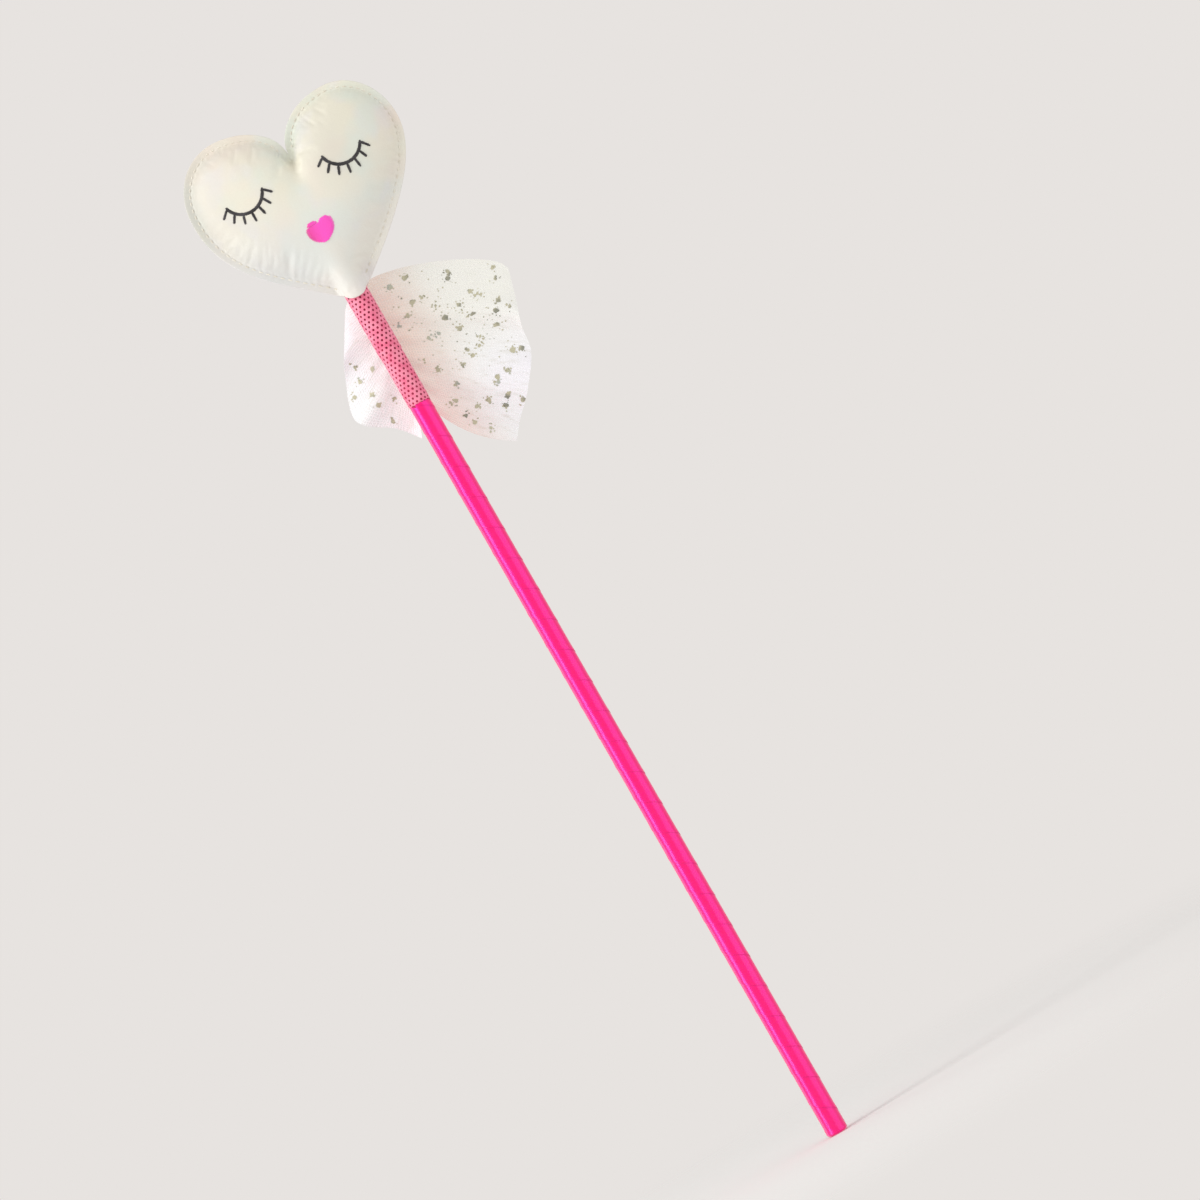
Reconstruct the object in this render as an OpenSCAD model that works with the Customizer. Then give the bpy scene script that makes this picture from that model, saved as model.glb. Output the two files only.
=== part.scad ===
// Toy magic wand: a padded heart with a sleepy face on a ribbon-wound stick, with a tulle bow at the neck.
// The stick stands along +Z from the origin at its free end, and the face looks along -Y.

/* [Stick] */
// Diameter of the wooden dowel
dowel_d = 6; // [5:0.1:8]
// Length of the wooden dowel
dowel_l = 300; // [260:1:340]
// Length of dowel inside the heart
dowel_grip = 24.8; // [21:0.1:28]
// Film of glue between a wound layer and what it is wound on
glue_film = 0.05; // [0.04:0.01:0.1]

/* [Ribbon] */
// Width of the satin ribbon
ribbon_w = 9; // [8.6:0.1:11]
// Thickness of the satin ribbon
ribbon_t = 0.25; // [0.15:0.01:0.4]
// Gap left between neighbouring turns
seam_gap = 0.45; // [0.43:0.01:0.8]
// Rounding of the ribbon where it folds over the free end
fold_round = 0.8; // [0.5:0.1:1.5]
// Length of winding that runs on under the neck net
winding_tuck = 14; // [4:0.5:16]

/* [Neck] */
// Length of stick that the neck net covers below the heart
net_l = 36; // [28:0.5:44]
// Thickness of the wrapped neck net
net_t = 0.28; // [0.15:0.01:0.6]
// Length of neck net tucked up into the heart
net_tuck = 1; // [0.5:0.1:2]
// Thickness of the glue bead behind the neck
bead_t = 0.4; // [0.2:0.05:0.8]
// Angle that the glue bead covers behind the neck
bead_angle = 44; // [20:1:60]

/* [Heart outline] */
// Full width of the heart
heart_w = 66.6; // [58:0.2:76]
// Height of the heart from tip to lobe tops
heart_h = 56.3; // [50:0.1:62]
// Depth of the notch below the lobe tops
notch_depth = 12.5; // [9:0.1:15]
// Distance between the two lobe tops
lobe_span = 35.6; // [31:0.2:40]
// Height of the widest place above the tip
widest_h = 39.5; // [36:0.1:43]
// Angle of the lower sides to the level at the tip
tip_angle = 38.7; // [34:0.1:44]
// Width of the tongue of fabric at the tip
tongue_w = 6.2; // [5:0.1:7]
// Depth of the rounded end of that tongue
tongue_drop = 1.3; // [0.5:0.1:2]
// Lean of the heart to the right of the stick
heart_lean = 3.5; // [0:0.1:6]

/* [Heart padding] */
// Thickness of one fabric panel
panel_t = 0.6; // [0.4:0.05:1]
// Width of the flat sewn rim
rim_w = 2.4; // [1.8:0.1:3.5]
// Rise of the front panel above the rim
front_crown = 8; // [5:0.1:11]
// Rise of the back panel above the rim
back_crown = 6.5; // [5:0.1:9]
// Clearance left round soft and glued pieces
soft_gap = 0.3; // [0.2:0.05:0.5]
// Wall of the glue collar round the dowel
collar_t = 0.5; // [0.3:0.05:0.6]
// Length of that glue collar
collar_l = 7; // [4:0.5:10]

/* [Seam] */
// Thickness of the sewing thread
thread_t = 0.3; // [0.2:0.05:0.5]
// Distance of the stitches from the edge of the rim
stitch_inset = 1.6; // [1.2:0.1:2]

/* [Face] */
// Distance between the middles of the two eyes
eye_span = 30.9; // [26:0.1:34]
// Height of the ends of the lids above the tip
eye_h = 38.6; // [36:0.1:40]
// Width of a closed eyelid
lid_w = 11.7; // [9:0.1:13]
// Depth of a closed eyelid
lid_drop = 4.4; // [3:0.1:5]
// Droop of the outer end of each lid
lid_droop = 3.2; // [0:0.1:8]
// Lashes on one eye
lash_count = 7; // [5:1:9]
// Length of a lash
lash_l = 3; // [2:0.1:3.6]
// Spread of the outermost lashes from straight down
lash_fan = 46; // [30:1:60]
// Width of the embroidered lid
line_w = 1.1; // [0.7:0.1:1.4]
// Width of an embroidered lash
lash_w = 0.9; // [0.6:0.1:1.2]
// Rise of the embroidery above the fabric
line_t = 0.45; // [0.25:0.05:0.8]
// Height of the middle of the mouth above the tip
mouth_h = 20.5; // [19:0.1:22]
// Width of the heart-shaped mouth
mouth_w = 8.2; // [6:0.1:10]
// Height of the heart-shaped mouth
mouth_tall = 7.6; // [6:0.1:9]
// Shift of the whole face to the right of the heart's middle
face_shift = -1.2; // [-2:0.1:2]

/* [Tulle] */
// Thickness of the tulle
tulle_t = 0.3; // [0.2:0.05:0.6]
// Reach of the right tail's upper corner from the stick
right_reach = 41; // [34:0.5:46]
// Drop of that corner below the heart's tip
right_drop = 15; // [11:0.5:19]
// Reach of the right tail's lower corner from the stick
right_low_reach = 18.5; // [14:0.5:23]
// Drop of that corner below the heart's tip
right_low_drop = 59; // [52:0.5:64]
// Reach of the left tail from the stick
left_reach = 18.5; // [14:0.5:24]
// Drop of the left tail's lower corner below the heart's tip
left_low_drop = 45; // [42:0.5:50]
// Rise of the right tail's upper edge above a straight line
upper_bow = 7.5; // [4:0.5:9]
// Depth of the folds at the ends of the tails
fold_depth = 2.2; // [1:0.1:3]
// Folds across the width of a tail
fold_count = 2.5; // [1.5:0.5:3.5]

/* [Hidden] */
$fn = 64;

cream = "#F1EDE3";
hot_pink = "#FF2D8E";
net_pink = "#FF8FB4";

// Radii of the layers round the stick, from the dowel outwards
dowel_r = dowel_d / 2;
ribbon_in = dowel_r + glue_film;
ribbon_out = ribbon_in + ribbon_t;
net_in = ribbon_out + glue_film;
net_out = net_in + net_t;
bead_in = net_out + glue_film;
bead_out = bead_in + bead_t;

// Heights along the stick
dowel_z = ribbon_t + glue_film;
tip_z = dowel_z + dowel_l - dowel_grip;
net_z = tip_z - net_l;
fold_h = ribbon_w;
winding_z = fold_h + seam_gap;
winding_top = net_z + winding_tuck;

// The ribbon's helix: its slope follows from laying it edge to edge with the seam gap between turns
turn_l = 2 * PI * ribbon_out;
lead_angle = asin((ribbon_w + seam_gap) / turn_l);
pitch = turn_l * tan(lead_angle);
strip_h = ribbon_w / cos(lead_angle);
loop_rings = 24;
strip_rings = floor((winding_top - winding_z + strip_h) / pitch * loop_rings) - 1;

// Height of the strip's lower edge at ring i, before the ends are trimmed square to the stick
function helix_z(i) = winding_z - strip_h + pitch * i / loop_rings;
function strip_low(i) = max(winding_z, helix_z(i));
function strip_high(i) = min(winding_top, helix_z(i) + strip_h);
function on_stick(r, i, z) = [r * cos(360 * i / loop_rings), r * sin(360 * i / loop_rings), z];
function strip_ring(i) = [
  on_stick(ribbon_in, i, strip_low(i)),
  on_stick(ribbon_out, i, strip_low(i)),
  on_stick(ribbon_out, i, strip_high(i)),
  on_stick(ribbon_in, i, strip_high(i))];

// Least gap between one turn and the next, measured on points a quarter ring apart
function upper_point(r, i) = on_stick(r, i, helix_z(i) + strip_h);
function next_turn_point(r, i) = on_stick(r, i, helix_z(i + loop_rings));
winding_gap = min([for (r = [ribbon_in, ribbon_out], i = [0 : loop_rings - 1], k = [-3 : 0.25 : 3])
  norm(next_turn_point(r, i + k) - upper_point(r, i))]);
echo(ribbon_turns = strip_rings / loop_rings, least_gap_between_turns = winding_gap);

// Right half of a heart outline from its notch to its tip: two quarter ellipses and one curve to the tip
function quarter(c, a, b, t) = [c[0] + a * cos(t), c[1] + b * sin(t)];
function curve(p, t) = pow(1 - t, 3) * p[0] + 3 * t * pow(1 - t, 2) * p[1] + 3 * t * t * (1 - t) * p[2]
  + pow(t, 3) * p[3];
function half_heart(half_w, tall, notch_h, lobe_x, wide_h, tip_x, slope, n) =
  let(pull = wide_h / 2,
    side = [[half_w, wide_h], [half_w, wide_h - pull],
      [tip_x, 0] + pull * [cos(slope), sin(slope)], [tip_x, 0]])
  concat(
    [for (i = [0 : n - 1]) quarter([lobe_x, notch_h], lobe_x, tall - notch_h, 180 - 90 * i / n)],
    [for (i = [0 : n - 1]) quarter([lobe_x, wide_h], half_w - lobe_x, tall - wide_h, 90 - 90 * i / n)],
    [for (i = [0 : 2 * n]) curve(side, i / (2 * n))]);
function flip(pts) = [for (i = [len(pts) - 1 : -1 : 0]) [-pts[i][0], pts[i][1]]];
function without_first(pts) = [for (i = [1 : len(pts) - 1]) pts[i]];
function without_last(pts) = [for (i = [0 : len(pts) - 2]) pts[i]];

// Heart outline, clockwise from the notch, with a rounded tongue across the tip
heart_steps = 6;
tongue_steps = 6;
tongue_x = tongue_w / 2;
notch_h = heart_h - notch_depth;
heart_right = half_heart(heart_w / 2, heart_h, notch_h, lobe_span / 2, widest_h, tongue_x, tip_angle,
  heart_steps);
tongue = [for (i = [1 : tongue_steps - 1]) quarter([0, 0], tongue_x, -tongue_drop, 180 * i / tongue_steps)];
heart_edge = concat(heart_right, tongue, without_last(flip(heart_right)));
edge_count = len(heart_edge);

// A closed clockwise outline moved inwards by d
function unit(v) = v / norm(v);
function inward(a, b) = unit([b[1] - a[1], a[0] - b[0]]);
function inset(pts, d) = let(n = len(pts)) [for (i = [0 : n - 1])
  pts[i] + d * unit(inward(pts[(i + n - 1) % n], pts[i]) + inward(pts[i], pts[(i + 1) % n]))];
heart_seam = inset(heart_edge, rim_w);

// The padding swells from the seam to a core in rings, by a steep and then flat profile
core_share = 0.73;
core = [0, core_share * notch_h];
swell = [0.95, 0.86, 0.72, 0.53, 0.28];
flatness = 2.4;
steepness = 0.62;
function crown(s) = pow(max(0, 1 - pow(s, flatness)), steepness);
function crossing(a, b) = a[0] * b[1] - a[1] * b[0];
function ray_hit(p, q, d) =
  let(e = q - p, den = crossing(d, e), t = crossing(p, e) / den, w = crossing(p, d) / den)
  t > 0 && w >= 0 && w <= 1 ? t : 0;
function seam_reach(d) = max([for (i = [0 : edge_count - 1])
  ray_hit(heart_seam[i] - core, heart_seam[(i + 1) % edge_count] - core, d)]);
function share(p) = let(d = p - core, m = norm(d)) m == 0 ? 0 : min(1, m / seam_reach(d / m));

// Near the tip the fabric is raised into a ridge over the stick, which leans in the heart's own frame
ridge_r = net_out + soft_gap;
function stick_u(v) = -v * tan(heart_lean);
function ridge(p) = sqrt(max(0, pow(ridge_r, 2) - pow(p[0] - stick_u(p[1]), 2)))
  * (p[1] < dowel_grip / 2 ? 1 : max(0, 2 - 2 * p[1] / dowel_grip));
blend_power = 6;
function raised(a, b) = pow(pow(a, blend_power) + pow(b, blend_power), 1 / blend_power);
function lift(p, rise) = raised(rise * crown(share(p)), ridge(p));

// Places a point of the heart's own frame: u to the right, v up from the tip, out towards the viewer
function in_heart(p, out) = [p[0], -out, p[1]];
module heart_place() {
  translate([0, 0, tip_z])
  rotate([0, heart_lean, 0])
  children();
}

// Rings of one padded surface from the edge of the rim to the last ring round the core
function pad_rings(rise, out) = concat(
  [for (p = heart_edge) in_heart(p, out + ridge(p))],
  [for (p = heart_seam) in_heart(p, out + ridge(p))],
  [for (s = swell, p = heart_seam) let(q = core + s * (p - core))
    in_heart(q, out + raised(rise * crown(s), ridge(q)))],
  [in_heart(core, out + rise)]);

// Triangles of a grid of rings, each of n points, closed by a last middle point
function ring_faces(rings, n, first) = [for (r = [0 : rings - 2], i = [0 : n - 1])
  let(a = first + r * n + i, b = first + r * n + (i + 1) % n) each [[a, b, b + n], [a, b + n, a + n]]];
function cap_faces(rings, n, first) = let(last = first + (rings - 1) * n)
  [for (i = [0 : n - 1]) [last + i, last + (i + 1) % n, last + n]];
function band_faces(n, first, second) = [for (i = [0 : n - 1]) let(j = (i + 1) % n)
  each [[first + i, second + i, second + j], [first + i, second + j, first + j]]];
function turned(faces) = [for (f = faces) [f[0], f[2], f[1]]];

// Solid between two stacks of rings with the same outer outline
module between_rings(near, far, rings, n) {
  near_faces = concat(ring_faces(rings, n, 0), cap_faces(rings, n, 0));
  far_faces = concat(ring_faces(rings, n, len(near)), cap_faces(rings, n, len(near)));
  rim_faces = band_faces(n, 0, len(near));
  polyhedron(concat(near, far), concat(near_faces, turned(far_faces), rim_faces), convexity = 6);
}

// One fabric panel of the heart, made for the front and mirrored for the back
pad_ring_count = len(swell) + 2;
module panel(rise) {
  between_rings(pad_rings(rise, panel_t), pad_rings(rise, 0), pad_ring_count, edge_count);
}

// Foot of the embroidery above the fabric, which takes up the flats of the panel's facets
face_lift = 0.12;
// Thin bar that follows points on the front panel, with a flat foot and a narrower back
bar_back = 0.32;
function bar_side(pts, i) = let(a = pts[max(0, i - 1)], b = pts[min(len(pts) - 1, i + 1)]) inward(a, b);
function bar_ring(pts, i, w, t) = let(side = bar_side(pts, i), p = pts[i], foot = panel_t + face_lift)
  [for (c = [[-0.5, 0], [-bar_back, t], [bar_back, t], [0.5, 0]]) let(q = p + c[0] * w * side)
    in_heart(q, foot + c[1] + lift(q, front_crown))];
module bar(pts, w, t) {
  n = len(pts);
  sides = [for (i = [0 : n - 2], k = [0 : 3]) let(a = 4 * i + k, b = 4 * i + (k + 1) % 4)
    each [[a, b, b + 4], [a, b + 4, a + 4]]];
  ends = [[2, 1, 0], [3, 2, 0], [4 * n - 4, 4 * n - 3, 4 * n - 2], [4 * n - 4, 4 * n - 2, 4 * n - 1]];
  polyhedron([for (i = [0 : n - 1]) each bar_ring(pts, i, w, t)], concat(sides, ends), convexity = 4);
}

// A closed eye: an arc of thread with lashes that fan out below it
lid_r = (pow(lid_w / 2, 2) + pow(lid_drop, 2)) / (2 * lid_drop);
lid_half_angle = asin(lid_w / 2 / lid_r);
lid_steps = 12;
// Angle between the end of the lid and its outermost lash
lash_margin = 3;
function turn2(p, a) = [p[0] * cos(a) - p[1] * sin(a), p[0] * sin(a) + p[1] * cos(a)];
function lid_point(a, r) = [r * sin(a), lid_r - lid_drop - r * cos(a)];
module eye(side) {
  middle = [face_shift + side * eye_span / 2, eye_h];
  tilt = -side * lid_droop;
  bar([for (i = [-lid_steps / 2 : lid_steps / 2])
    middle + turn2(lid_point(lid_half_angle * 2 * i / lid_steps, lid_r), tilt)], line_w, line_t);
  for (i = [0 : lash_count - 1]) {
    at = 2 * i / (lash_count - 1) - 1;
    root_angle = at * (lid_half_angle - lash_margin);
    way = [sin(lash_fan * at), -cos(lash_fan * at)];
    root_r = lid_r + line_w / 2 + lash_w / 2 * sin(abs(root_angle - lash_fan * at)) + glue_film;
    start = lid_point(root_angle, root_r);
    bar([for (k = [0 : 2]) middle + turn2(start + lash_l * k / 2 * way, tilt)], lash_w, line_t);
  }
}

// Layers of the stick

module dowel() {
  color("#D9B98C")
  translate([0, 0, dowel_z])
  rotate_extrude() {
    edge_round = fold_round - ribbon_t - glue_film;
    square([dowel_r - edge_round, dowel_l]);
    translate([0, edge_round])
    square([dowel_r, dowel_l - edge_round]);
    translate([dowel_r - edge_round, edge_round])
    circle(edge_round);
  }
}

module shaft_ribbon() {
  n = strip_rings;
  sides = [for (i = [1 : n - 1], k = [0 : 3]) let(a = 4 * (i - 1) + k, b = 4 * (i - 1) + (k + 1) % 4)
    each [[a, b + 4, b], [a, a + 4, b + 4]]];
  last = 4 * (n - 1);
  ends = [[0, 1, 2], [0, 2, 3], [last + 2, last + 1, last], [last + 3, last + 2, last]];
  // Mirrored, so that the seams fall to the right on the side of the face
  color(hot_pink)
  mirror([0, 1, 0])
  polyhedron([for (i = [1 : n]) each strip_ring(i)], concat(sides, ends), convexity = 20);
}

module fold_profile(r, round, z) {
  translate([0, z])
  square([r - round, fold_h - z]);
  translate([0, z + round])
  square([r, fold_h - z - round]);
  translate([r - round, z + round])
  circle(round);
}

module end_fold() {
  color(hot_pink)
  rotate_extrude()
  intersection() {
    difference() {
      fold_profile(ribbon_out, fold_round, 0);
      fold_profile(ribbon_in, fold_round - ribbon_t, ribbon_t);
    }
    square([ribbon_out, fold_h]);
  }
}

module neck_net() {
  color(net_pink)
  translate([0, 0, net_z])
  difference() {
    cylinder(r = net_out, h = net_l + net_tuck);
    translate([0, 0, -1])
    cylinder(r = net_in, h = net_l + net_tuck + 2);
  }
}

module neck_glue() {
  color("#F4EFE2", 0.8)
  translate([0, 0, tulle_low])
  rotate([0, 0, 90 - bead_angle / 2])
  rotate_extrude(angle = bead_angle)
  translate([bead_in, 0])
  square([bead_t, tulle_high - tulle_low]);
}

// The tulle strip crosses behind the neck, where it is gathered, and spreads into a long and a short tail
root_margin = 2;
tulle_high = tip_z - tongue_drop - root_margin / 2;
tulle_low = net_z + root_margin;
tulle_y = bead_out + glue_film;
tulle_rows = 18;
left_columns = 6;
right_columns = 11;

// Curved cut end of each tail, from its upper corner past a middle point to its lower corner
bulge_drop = 0.7;
left_bulge = 1.75;
left_corner = 0.28;
right_end = [[right_reach, tip_z - right_drop], [right_reach, tip_z - bulge_drop * right_low_drop],
  [right_low_reach, tip_z - right_low_drop]];
left_end = [[-left_corner * left_reach, tip_z - 2 * root_margin],
  [-left_bulge * left_reach, tip_z - bulge_drop * left_low_drop],
  [-left_corner * left_reach, tip_z - left_low_drop]];
// Turn of the first fold at the upper edge, and how fast the folds deepen towards the ends
fold_phase = 40;
fold_growth = 1.3;

function bent(p, t) = pow(1 - t, 2) * p[0] + 2 * t * (1 - t) * p[1] + t * t * p[2];
function tulle_point(f, b, out) =
  let(g = abs(f),
    end = bent(f < 0 ? left_end : right_end, b),
    root = [0, tulle_high + (tulle_low - tulle_high) * b],
    p = root + g * (end - root),
    bow = f > 0 ? upper_bow * sin(180 * g) * pow(1 - b, 2) : 0,
    fold = fold_depth * pow(g, fold_growth) * sin(360 * fold_count * b + fold_phase))
  [p[0], tulle_y + out + fold + fold_depth * g, p[1] + bow];

module tulle_bow() {
  columns = concat([for (i = [left_columns : -1 : 1]) -i / left_columns],
    [for (i = [0 : right_columns]) i / right_columns]);
  rows = tulle_rows + 1;
  count = len(columns) * rows;
  points = [for (out = [0, tulle_t], f = columns, b = [0 : tulle_rows]) tulle_point(f, b / tulle_rows, out)];
  face = [for (c = [0 : len(columns) - 2], r = [0 : tulle_rows - 1]) let(a = c * rows + r)
    each [[a, a + rows, a + rows + 1], [a, a + rows + 1, a + 1]]];
  rim = concat([for (c = [0 : len(columns) - 1]) c * rows],
    [for (r = [1 : rows - 1]) count - rows + r],
    [for (c = [len(columns) - 2 : -1 : 0]) c * rows + rows - 1],
    [for (r = [rows - 2 : -1 : 1]) r]);
  edge = [for (i = [0 : len(rim) - 1]) let(a = rim[i], b = rim[(i + 1) % len(rim)])
    each [[a, a + count, b + count], [a, b + count, b]]];
  back = [for (f = turned(face)) [for (k = f) k + count]];
  color("#F8F4EC", 0.6)
  polyhedron(points, concat(face, back, edge), convexity = 10);
}

// Padded heart

module heart_front() {
  color(cream)
  heart_place()
  panel(front_crown);
}

module heart_back() {
  color(cream)
  heart_place()
  mirror([0, 1, 0])
  panel(back_crown);
}

// Loose fibre that fills the heart above the glue collar, bored for the dowel
module heart_stuffing() {
  filling = [0.9, 0.76, 0.55, 0.3];
  thin_edge = 0.02;
  function fill_rings(rise, side) = concat(
    [for (s = filling, p = heart_seam) let(q = core + s * (p - core))
      in_heart(q, side * max(thin_edge, rise * crown(s / filling[0]) - 2 * soft_gap))],
    [in_heart(core, side * (rise - 2 * soft_gap))]);
  color("white")
  difference() {
    heart_place()
    between_rings(fill_rings(front_crown, 1), fill_rings(back_crown, -1), len(filling), edge_count);
    cylinder(r = dowel_r + soft_gap, h = dowel_z + dowel_l + soft_gap);
    translate([0, 0, tip_z - tongue_drop])
    cylinder(r = ridge_r + soft_gap, h = tongue_drop + net_tuck + collar_l + 2 * soft_gap);
  }
}

module heart_glue() {
  color("#F4EFE2", 0.8)
  translate([0, 0, tip_z + net_tuck + glue_film])
  difference() {
    cylinder(r = ribbon_in + collar_t, h = collar_l);
    translate([0, 0, -1])
    cylinder(r = ribbon_in, h = collar_l + 2);
  }
}

// Running stitches round the rim, on both panels, with the mouth of the heart left open
module seam_thread() {
  line = inset(heart_edge, stitch_inset);
  first = 1;
  stitch_end = 0.2;
  sewn = concat([for (i = [first : len(heart_right) - 3]) i],
    [for (i = [len(heart_right) + tongue_steps + 1 : edge_count - 1 - first]) i]);
  function stitch_box(a, b, y0, y1) = let(along = b - a, side = thread_t / 2 * inward(a, b))
    [for (y = [y0, y1], p = [a + stitch_end * along + side, a + stitch_end * along - side,
      b - stitch_end * along - side, b - stitch_end * along + side]) in_heart(p, y)];
  foot = panel_t + glue_film;
  box_faces = [[0, 1, 2], [0, 2, 3], [6, 5, 4], [7, 6, 4], [0, 4, 5], [0, 5, 1], [1, 5, 6], [1, 6, 2],
    [2, 6, 7], [2, 7, 3], [3, 7, 4], [3, 4, 0]];
  color("#E4DCCB")
  heart_place()
  for (i = sewn, side = [0, 1]) {
    mirror([0, side, 0])
    polyhedron(stitch_box(line[i], line[(i + 1) % edge_count], foot, foot + thread_t), box_faces);
  }
}

// Embroidered face

module left_eye() {
  color("#161214")
  heart_place()
  eye(-1);
}

module right_eye() {
  color("#161214")
  heart_place()
  eye(1);
}

module mouth() {
  mouth_notch = 0.78 * mouth_tall;
  mouth_widest = 0.7 * mouth_tall;
  mouth_slope = 50;
  right = half_heart(mouth_w / 2, mouth_tall, mouth_notch, mouth_w / 4, mouth_widest, 0, mouth_slope, 4);
  outline = concat(right, without_last(without_first(flip(right))));
  place = [face_shift, mouth_h - mouth_tall / 2];
  heart_middle = [0, mouth_tall / 2];
  rings = [1, 0.86, 0.5];
  rise = [0.4, 0.85, 1];
  function on_face(p, rise) = in_heart(p, panel_t + face_lift + lift(p, front_crown) + rise * line_t);
  function mouth_rings(top) = concat(
    [for (k = [0 : len(rings) - 1], p = outline)
      on_face(place + heart_middle + rings[k] * (p - heart_middle), top * rise[k])],
    [on_face(place + heart_middle, top)]);
  color("#FF5FC8")
  heart_place()
  between_rings(mouth_rings(1), mouth_rings(0), len(rings), len(outline));
}

dowel();
shaft_ribbon();
end_fold();
neck_net();
neck_glue();
tulle_bow();
heart_front();
heart_back();
heart_stuffing();
heart_glue();
seam_thread();
left_eye();
right_eye();
mouth();
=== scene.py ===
"""A toy magic wand: a padded pearl heart with a sleepy face on a stick wound with satin ribbon, and a
sheer tulle strip behind its netted neck. Sizes here are in millimetres and become metres in each mesh."""

import math
import random

import bpy
import numpy as np
from mathutils import Matrix, Vector, geometry
from mathutils.bvhtree import BVHTree


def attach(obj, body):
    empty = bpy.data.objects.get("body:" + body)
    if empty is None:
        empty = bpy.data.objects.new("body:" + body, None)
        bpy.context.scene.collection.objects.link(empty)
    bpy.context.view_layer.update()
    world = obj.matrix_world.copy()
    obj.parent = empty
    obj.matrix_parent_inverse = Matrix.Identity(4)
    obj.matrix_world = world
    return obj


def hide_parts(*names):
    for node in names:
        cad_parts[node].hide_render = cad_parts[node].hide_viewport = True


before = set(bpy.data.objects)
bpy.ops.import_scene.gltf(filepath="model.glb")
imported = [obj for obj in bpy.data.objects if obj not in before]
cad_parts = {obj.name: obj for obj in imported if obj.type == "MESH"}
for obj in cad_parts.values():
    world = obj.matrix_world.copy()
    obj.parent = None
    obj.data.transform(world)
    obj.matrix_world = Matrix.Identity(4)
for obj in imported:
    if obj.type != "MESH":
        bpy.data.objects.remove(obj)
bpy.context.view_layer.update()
bpy.ops.object.select_all(action="DESELECT")

MM = 0.001
TURN = 2 * math.pi

# Layers of the stick, from its free end at Z 0 up to the heart's tip
FOLD_IN, FOLD_OUT, FOLD_H, FOLD_ROUND = 3.02, 3.12, 9.0, 0.9
WIND_IN, WIND_T, WIND_PITCH, WIND_LAP = 3.13, 0.07, 10.0, 0.9
WIND_START, WIND_LOW, WIND_HIGH = 6.1, 0.7, 277.0
WIND_TURNS, WIND_STEPS = 29, 40
NET_Z, NET_TOP = 239.5, 277.0
NET_IN, NET_T, NET_THREAD = 3.40, 0.14, 0.38
NET_CELLS, NET_ROWS, NET_DOUBLED = 15, 30, 13

# Heart, in its own frame: u to the right, v up from the tip, out towards the viewer
TIP_Z = 275.5
HEART_LEAN = math.radians(3.5)
NOTCH_H, LOBE_U, WIDEST_H = 43.8, 17.8, 39.5
TONGUE_W, TONGUE_DROP = 6.2, 1.3
LEFT_HALF = {"wide": 33.3, "tall": 56.3, "pull": 19.75, "tip_pull": 19.75, "tip_slope": math.radians(38.7)}
RIGHT_HALF = {"wide": 33.0, "tall": 57.3, "pull": 12.0, "tip_pull": 22.0, "tip_slope": math.radians(40.5)}
RIM_W, PANEL_T = 2.4, 0.6
FRONT_CROWN, BACK_CROWN = 8.0, 6.5
RIDGE_R, RIDGE_FULL, RIDGE_END = 4.3, 13.0, 24.8
SEAM_INSET, STITCH_PITCH, STITCH_HALF, STITCH_LOW = 1.8, 2.2, 0.37, 3.0
CORE_SHARE, SWELL_FLAT, SWELL_STEEP = 0.73, 2.4, 0.62
TIP_FULL, TIP_LOW, TIP_HIGH = 0.85, 6.0, 20.0
PUCKER, GROOVE = 0.13, 0.12
FIBRE_GAP, FIBRE_LOW, FIBRE_LEAST = 0.9, 12.0, 0.2
PATTERN_STEP = 0.95

# The stuffing's trial is enlarged, starts flatter and may move each point only so far
TRIAL_SCALE, TRIAL_START, TRIAL_FRAMES, TRIAL_MOST = 30, 0.82, 20, 3.5

# Sleepy face on the front panel
FACE_SHIFT = -1.2
EYE_SPAN, EYE_H, EYE_STEP = 30.9, 38.2, 0.25
LID_W, LID_DROP, LID_DROOP = 11.7, 4.4, math.radians(3.2)
LASH_COUNT, LASH_L, LASH_FAN = 7, 2.45, math.radians(46)
LID_LINE, LASH_LINE = 1.18, 0.94
MOUTH_SHIFT, MOUTH_H, MOUTH_W, MOUTH_TALL = -0.9, 20.0, 8.4, 6.9

# Tulle strip behind the neck
TULLE_Y, TULLE_T = 4.25, 0.12
TULLE_HIGH, TULLE_LOW = 273.2, 241.5
TULLE_RISE, TULLE_SAG, LEFT_RISE = 12.6, 5.0, 2.0
TULLE_W, RIGHT_L, LEFT_L = 50, 45, 20
FLECK_SIDES, SPECKS = 7, 110


# Shader sums


class Value:
    """An output of a node. Sums on it add Math nodes."""

    def __init__(self, finish, socket):
        self.finish = finish
        self.socket = socket

    def sum(self, operation, *terms):
        return self.finish.node("ShaderNodeMath", {"operation": operation}, dict(enumerate(terms)))

    def __add__(self, other):
        return self.sum("ADD", self, other)

    def __radd__(self, other):
        return self.sum("ADD", other, self)

    def __sub__(self, other):
        return self.sum("SUBTRACT", self, other)

    def __rsub__(self, other):
        return self.sum("SUBTRACT", other, self)

    def __mul__(self, other):
        return self.sum("MULTIPLY", self, other)

    def __rmul__(self, other):
        return self.sum("MULTIPLY", other, self)

    def __mod__(self, other):
        return self.sum("FLOORED_MODULO", self, other)

    def sine(self):
        return self.sum("SINE", self)

    def step(self, low, high):
        """0 below low and 1 above high, with a soft rise between them."""
        return self.finish.node("ShaderNodeMapRange", {"interpolation_type": "SMOOTHSTEP"},
                                {"Value": self, "From Min": low, "From Max": high})


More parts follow.
